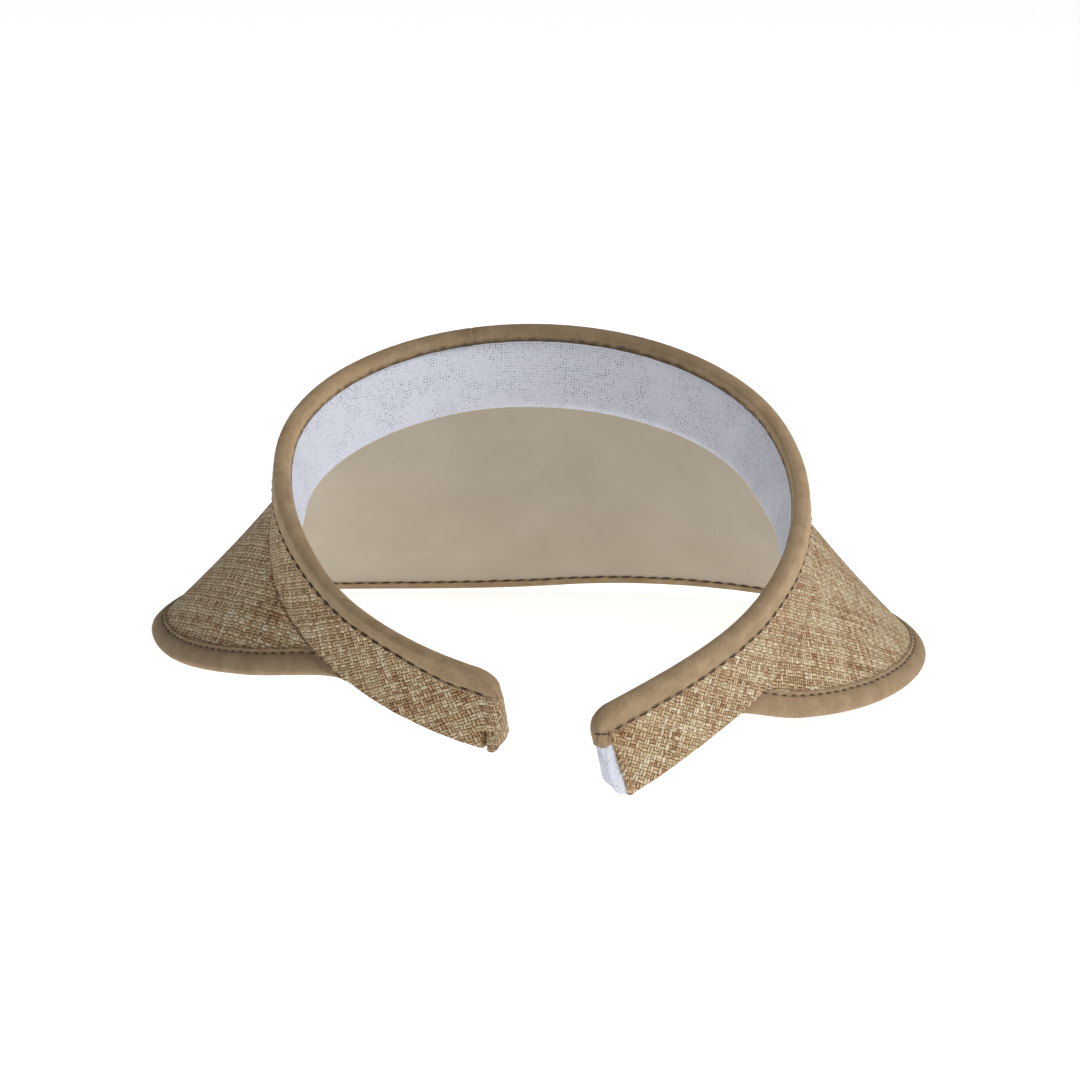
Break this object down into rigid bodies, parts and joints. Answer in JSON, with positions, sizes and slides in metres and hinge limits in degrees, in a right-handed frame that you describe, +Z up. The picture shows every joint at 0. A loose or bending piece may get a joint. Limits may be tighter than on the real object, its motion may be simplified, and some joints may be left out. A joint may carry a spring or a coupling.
{
  "type": "sun visor",
  "caption": "Open-back clip-on sun visor: a springy padded fabric headband with a wide curved woven-straw brim.",
  "frame": {"origin": "on the surface the visor stands on, under the middle of its bounding box", "axes": "+Z up as it stands on its brim edge and one arm end, -Y toward the front of the brim, +X toward the wearer's left"},
  "size_m": [0.2396, 0.2364, 0.0991],
  "materials": {
    "straw_weave": "coarse basket weave of light straw and brown threads",
    "binding_tape": "smooth tan bias tape",
    "terry": "bluish white knitted terry",
    "brim_lining": "smooth beige laminated cloth",
    "thread": "dark brown sewing thread",
    "foam": "soft foam, hidden",
    "spring_strip": "springy plastic strip, hidden",
    "brim_board": "bendable plastic board, hidden"
  },
  "bodies": {
    "visor_front": {"brim_board": "brim_board", "brim_edge_stitching": "thread", "brim_edge_tape": "binding_tape", "brim_lining": "brim_lining", "brim_seam_stitching": "thread", "brim_top_cover": "straw_weave", "front_foam_pad": "foam", "front_rim_stitching": "thread", "front_rim_tape": "binding_tape", "front_spring_strip": "spring_strip", "front_sweatband": "terry", "front_woven_cover": "straw_weave"},
    "left_arm": {"left_bar_tack": "thread", "left_foam_pad": "foam", "left_rim_stitching": "thread", "left_rim_tape": "binding_tape", "left_spring_strip": "spring_strip", "left_sweatband": "terry", "left_tape_end": "binding_tape", "left_woven_cover": "straw_weave", "left_woven_end": "straw_weave"},
    "right_arm": {"right_bar_tack": "thread", "right_foam_pad": "foam", "right_rim_stitching": "thread", "right_rim_tape": "binding_tape", "right_spring_strip": "spring_strip", "right_sweatband": "terry", "right_tape_end": "binding_tape", "right_terry_end": "terry", "right_woven_cover": "straw_weave"}
  },
  "joints": [
    {"name": "left_arm_flex", "type": "hinge", "parent": "visor_front", "child": "left_arm", "pos_m": [0.04341, 0.0862, 0.04105], "axis": [0.0236, -0.4051, -0.9139], "range_deg": [-3, 30], "stiffness_Nm_per_rad": 0.4},
    {"name": "right_arm_flex", "type": "hinge", "parent": "visor_front", "child": "right_arm", "pos_m": [-0.06595, 0.08915, 0.03692], "axis": [-0.0236, 0.4051, 0.9139], "range_deg": [-3, 30], "stiffness_Nm_per_rad": 0.4}
  ]
}
